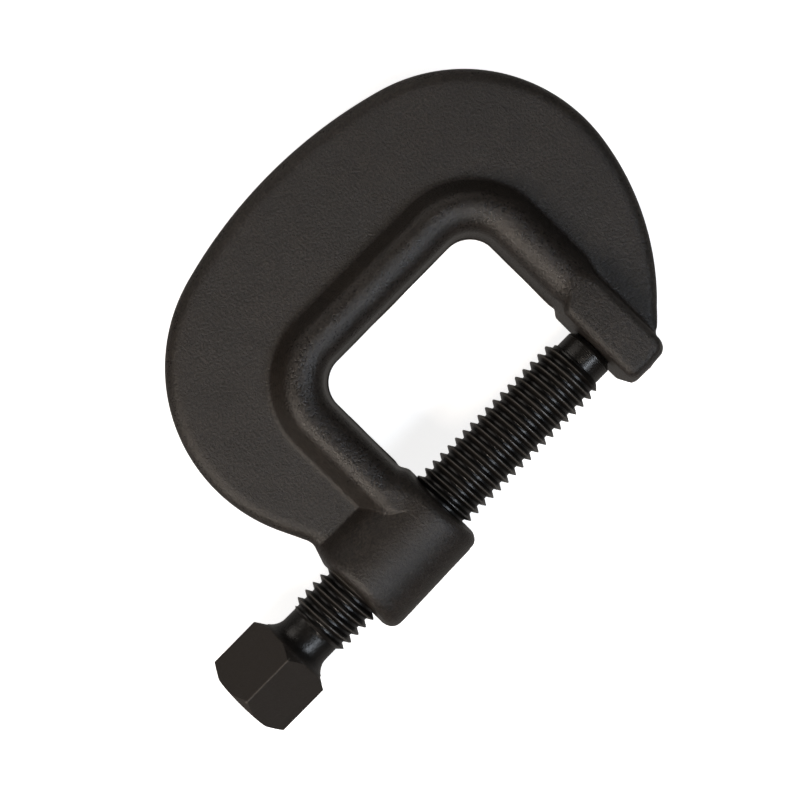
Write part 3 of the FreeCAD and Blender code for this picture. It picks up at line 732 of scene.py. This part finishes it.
def thread_mesh(turn):
    """Threaded part as a grid that follows the helix, with both ends drawn to circles.

    x = row + pitch * turn / full turn, held between the thread's ends; the radius is the
    smaller of the thread form and the lead-in cone. Rows past the front end shrink to a
    pole, and rows past the back end stay on the neck's circle."""
    rows, per_turn = thread_rows()
    raw = rows[:, None] + PITCH * turn[None, :] / FULL_TURN
    x = np.clip(raw, THREAD_BACK, THREAD_FRONT)
    away = crest_distance(x, turn[None, :])
    form = thread_radius(away, CREST, CREST_FLAT, ROOT)
    form = form - ROLLED * ease(*ROLLED_RISE, away) * (1 - ease(*ROLLED_FALL, away))
    from_end = np.minimum(THREAD_FRONT - x, x - THREAD_BACK)
    lead = LEAD_RADIUS + from_end * (CREST - LEAD_RADIUS) / LEAD_IN
    radius = np.minimum(form, lead)
    radius = np.where(raw <= THREAD_BACK, NECK_RADIUS, radius)
    at_front = raw >= THREAD_FRONT
    radius = np.where(at_front, LEAD_RADIUS, radius)
    beyond = at_front & np.roll(at_front, 1, axis=0)
    beyond[0] = False
    radius = np.where(beyond, 0.0, radius)
    points = about_axis(x, radius, turn)
    count, columns = raw.shape
    index = np.arange(count * columns).reshape(count, columns)
    shifted = np.concatenate((index[:, 1:], np.roll(index[:, :1], -per_turn, axis=0)), axis=1)
    quads = np.stack((index[:-1], shifted[:-1], shifted[1:], index[1:]), axis=2)
    whole = np.ones(quads.shape[:2], bool)
    whole[count - 1 - per_turn:, -1] = False
    return points.reshape(-1, 3), quads[whole]


def head_mesh(turn):
    """Neck, its flare, and the square head: rings whose radius is the smallest of square,
    trimming cone and blunted corner, with rows on the curves where the cone meets the square."""
    square = np.minimum(HEAD_CORNER / (np.abs(np.cos(turn)) + np.abs(np.sin(turn))), BLUNTED)
    cone = HEAD_BEVEL / (HEAD_CORNER - HEAD_FACE)
    bevel = (square - HEAD_FACE) * cone
    flare_end = FLARE[-1][1]
    cone_start = cone * (flare_end - HEAD_FACE)
    front = HEAD_FRONT - bevel - CONE_GAP
    back = HEAD_BACK + bevel + CONE_GAP
    rings = [(THREAD_BACK, NECK_RADIUS), *FLARE]
    for share in (0.35, 0.7, 0.9, 0.97):
        place_x = HEAD_FRONT - cone_start - (bevel - cone_start) * share
        rings.append((place_x, between(flare_end, square, share)))
    for share in (0.0, 0.01, 0.03, 0.1, 0.25, 0.5, 0.75, 0.9, 0.97, 0.99, 1.0):
        rings.append((between(front, back, share), square))
    for share in (0.03, 0.1, 0.4, 0.7, 0.9, 0.97, 1.0):
        rings.append((HEAD_BACK + bevel * (1 - share), between(square, HEAD_FACE, share)))
    rings += [(HEAD_BACK, radius) for radius in (6.25, 6.0, 4.0, 2.0, 0.0)]
    x, radius = (
        np.stack([np.broadcast_to(value, turn.shape) for value in column])
        for column in zip(*rings)
    )
    return about_axis(x, radius, turn).reshape(-1, 3), close_rings(*x.shape)


turn = screw_turns()
thread_points, thread_quads = thread_mesh(turn)
head_points, head_quads = head_mesh(turn)
screw_points = np.concatenate((thread_points, head_points))
screw_quads = np.concatenate((thread_quads, head_quads + len(thread_points)))
thrust_screw = mesh_object("thrust_screw", screw_points, screw_quads)
thrust_screw.data.set_sharp_from_angle(angle=math.radians(34))
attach(thrust_screw, "screw")
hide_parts("screw")

# worn and painted with a highlight: the thread's crests; and a mark for the head, which is
# browner and duller
vx, vy, vz = vertex_places(thrust_screw)
past_neck = ease(HEAD_FRONT + 3, HEAD_FRONT + 5, vx)
store(thrust_screw, "crest", ease(6.22, 6.34, np.hypot(vy, vz)) * past_neck)
store(thrust_screw, "head", 1 - ease(HEAD_FRONT - 0.4, HEAD_FRONT + 0.5, vx))

BLACK_DEEP = (0.003, 0.0026, 0.0022, 1)
BLACK_THIN = (0.006, 0.0052, 0.0045, 1)
CREST_WORN_AND_HIGHLIGHT = (0.10, 0.09, 0.08, 1)
HEAD_BROWN = (0.016, 0.0122, 0.0095, 1)
EDGE_WORN = (0.10, 0.085, 0.072, 1)

black = Finish(bpy.data.materials.new("black_oxide"))
where = black.own_place()
crest = black.mark("crest")
head = black.mark("head")
cloud = black.noise(where, 260.0, 4.0, 0.6)
fine = black.noise(where, 2400.0, 3.0, 0.6)
tone = black.mix(black.band(cloud, 0.35, 0.65), BLACK_DEEP, BLACK_THIN)
# the crests are painted lighter, partly as wear and partly as a painted highlight along each
# crest
tone = black.mix(crest * 0.5, tone, CREST_WORN_AND_HIGHLIGHT)


def off_axis(axis):
    """Distance from the screw's axis along y (1) or z (2), in metres."""
    along = black.node("ShaderNodeSeparateXYZ", values={"Vector": where}, out=axis)
    return black.maths("ABSOLUTE", along - JAW_POINT[axis] * MM)


# the head's four worn edges lie in the planes through the axis, far out on the square
off_y, off_z = off_axis(1), off_axis(2)
edge = 1.0 - black.band(black.maths("MINIMUM", off_y, off_z), 0.00004, 0.00022)
edge = edge * black.band(black.maths("MAXIMUM", off_y, off_z), 0.0078, 0.0082)
tone = black.mix(head, tone, HEAD_BROWN)
tone = black.mix(head * edge * (0.25 + 0.5 * cloud), tone, EDGE_WORN)
rough = 0.30 + 0.14 * (cloud - 0.5) + 0.22 * head + 0.1 * (fine - 0.5)
relief = black.bump(fine, 0.00005, under=black.bump(cloud, 0.00012))
black.surface({
    "Base Color": tone, "Roughness": rough, "Metallic": 0.0, "Normal": relief, "IOR": 1.5
})
thrust_screw.data.materials.append(black.owner)

# ---------------------------------------------------------------- plain point
# The screw's front end is turned down to a plain point with a chamfer. It is the same piece
# of steel as the screw, and shows the fine rings that the lathe left.

POINT_FRONT = -0.05
POINT_RADIUS = 4.9
POINT_CHAMFER = 1.0
# the part hidden in the screw's end: its back, and the seat where it comes out
POINT_BACK = -5.2
POINT_BACK_RADIUS = 4.6
POINT_SEAT = -4.35
POINT_SEAT_RADIUS = 4.8


def point_mesh():
    """A turned profile, radius against distance along the axis, carried round the axis. Its
    stretches are the back, the seat, the side, the chamfer's edge, the chamfer, the front."""
    turn = np.linspace(0, FULL_TURN, 97)[:-1]
    edge = POINT_FRONT - POINT_CHAMFER
    flat = POINT_RADIUS - POINT_CHAMFER
    chamfer_x = np.linspace(edge + 0.15, POINT_FRONT - 0.05, 6)
    chamfer_r = np.linspace(POINT_RADIUS - 0.15, flat + 0.05, 6)
    stretches = (
        ((POINT_BACK, POINT_BACK), (0.0, POINT_BACK_RADIUS)),
        ((POINT_SEAT,), (POINT_SEAT_RADIUS,)),
        (np.linspace(POINT_SEAT, edge - 0.1, 26)[1:], np.full(25, POINT_RADIUS)),
        ((edge - 0.03, edge + 0.05), (POINT_RADIUS - 0.01, POINT_RADIUS - 0.05)),
        (chamfer_x, chamfer_r),
        ((POINT_FRONT,) * 3, (flat - 0.03, flat - 0.4, 0.0)),
    )
    x, radius = (np.concatenate(values)[:, None] for values in zip(*stretches))
    return about_axis(x, radius, turn).reshape(-1, 3), close_rings(len(x), len(turn))


plain_point = mesh_object("plain_point", *point_mesh())
plain_point.data.set_sharp_from_angle(angle=math.radians(34))
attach(plain_point, "screw_tip")
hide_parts("screw_tip")

TURNED_DARK = (0.006, 0.0055, 0.005, 1)
TURNED_LIGHT = (0.011, 0.0095, 0.008, 1)

turned = Finish(bpy.data.materials.new("turned_point"))
where = turned.own_place()
rings = turned.node(
    "ShaderNodeTexWave",
    {"wave_type": "BANDS", "bands_direction": "X"},
    {"Vector": where, "Scale": 900.0, "Distortion": 1.5, "Detail": 2.0, "Detail Scale": 2.0},
    out=1,
)
cloud = turned.noise(where, 300.0, 3.0)
tone = turned.mix(cloud, TURNED_DARK, TURNED_LIGHT)
rough = 0.20 + 0.14 * cloud
relief = turned.bump(rings, 0.00003)
turned.surface({
    "Base Color": tone, "Roughness": rough, "Metallic": 0.0, "Normal": relief, "IOR": 1.6
})
plain_point.data.materials.append(turned.owner)

# ---------------------------------------------------------------- studio
# A pale sheet under the clamp and a pale wall far round it, a warm light on the head's side,
# a long cool light below the screw, and two soft fills. The camera looks straight down.

FLOOR_HALF = 3
FLOOR_LEVEL = -0.0003
WALL_RADIUS = 2.8
WALL_LEVELS = (-0.001, 3.0)

paper = Finish(bpy.data.materials.new("pale_paper"))
where = paper.own_place()
white = paper.mix(paper.noise(where, 40.0), (0.86, 0.86, 0.86, 1), (0.88, 0.88, 0.88, 1))
paper.surface({
    "Base Color": white, "Roughness": 0.9, "Emission Color": white, "Emission Strength": 0.95
})


def staged(name, points, quads):
    """A pale paper surface that is not part of the clamp and gives it no reflection."""
    mesh = bpy.data.meshes.new(name)
    mesh.from_pydata(points, [], quads)
    mesh.materials.append(paper.owner)
    made = add_object(name, mesh)
    made.visible_glossy = False
    return made


square_corners = ((-1, -1), (1, -1), (1, 1), (-1, 1))
floor_points = [(FLOOR_HALF * a, FLOOR_HALF * b, FLOOR_LEVEL) for a, b in square_corners]
staged("pale_floor", floor_points, [(0, 1, 2, 3)])

around = np.linspace(0, FULL_TURN, 65)[:-1]
level = np.array(WALL_LEVELS)[:, None]
wall_circle = (WALL_RADIUS * np.cos(around), WALL_RADIUS * np.sin(around), level)
wall_points = np.stack(np.broadcast_arrays(*wall_circle), axis=2).reshape(-1, 3)
wall_quads = close_rings(2, len(around))[:, ::-1]
backdrop = staged("pale_backdrop", wall_points.tolist(), wall_quads.tolist())
backdrop.visible_diffuse = False
backdrop.visible_shadow = False


def soft_light(name, towards, distance, size, power, colour):
    """A rectangular light that looks at the clamp from a direction."""
    lamp = bpy.data.lights.new(name, "AREA")
    lamp.shape = "RECTANGLE"
    lamp.size, lamp.size_y = size
    lamp.energy = power
    lamp.color = colour
    light = add_object(name, lamp)
    aim = np.array(towards) / np.linalg.norm(towards)
    light.location = aim * distance
    light.rotation_euler = Vector(aim).to_track_quat("Z", "Y").to_euler()


soft_light("warm_side", (-0.66, -0.10, 0.74), 1.1, (0.32, 0.40), 6.1, (1.0, 0.88, 0.76))
soft_light("cool_front", (0.16, -0.58, 0.80), 1.1, (0.8, 0.28), 5.6, (0.84, 0.91, 1.0))
soft_light("spine_fill", (0.25, 0.85, 0.5), 1.3, (0.9, 0.9), 3.0, (1.0, 0.93, 0.87))
soft_light("head_fill", (-0.85, 0.15, 0.45), 1.3, (0.9, 0.9), 5.5, (1.0, 0.92, 0.84))

# the surroundings: nearly dark above the horizon, and pale below it, where the sheet is
world = Finish(bpy.data.worlds.new("studio"))
direction = world.node("ShaderNodeTexCoord")
upward = world.node("ShaderNodeSeparateXYZ", values={"Vector": direction}, out=2)
strength = world.node("ShaderNodeMapRange", values={
    "Value": upward, "From Min": 0.1, "From Max": -0.3, "To Min": 0.03, "To Max": 0.22
})
glow = world.node("ShaderNodeBackground", values={
    "Color": (1.0, 0.95, 0.9, 1), "Strength": strength
})
world.node("ShaderNodeOutputWorld", values={"Surface": glow})
bpy.context.scene.world = world.owner
bpy.context.scene.view_settings.view_transform = "Standard"

CAMERA_HEIGHT = 0.440
VIEW_WIDTH = 0.14644
SENSOR = 36.0
view = bpy.data.cameras.new("view")
view.sensor_width = SENSOR
view.lens = SENSOR * CAMERA_HEIGHT / VIEW_WIDTH
view.shift_x = 0.0920
view.shift_y = 0.0385
camera = add_object("view", view)
camera.location = (-0.0139, -0.0030, 0.01035 + CAMERA_HEIGHT)
camera.rotation_euler = (0.0, 0.0, math.radians(-45.38))
bpy.context.scene.camera = camera
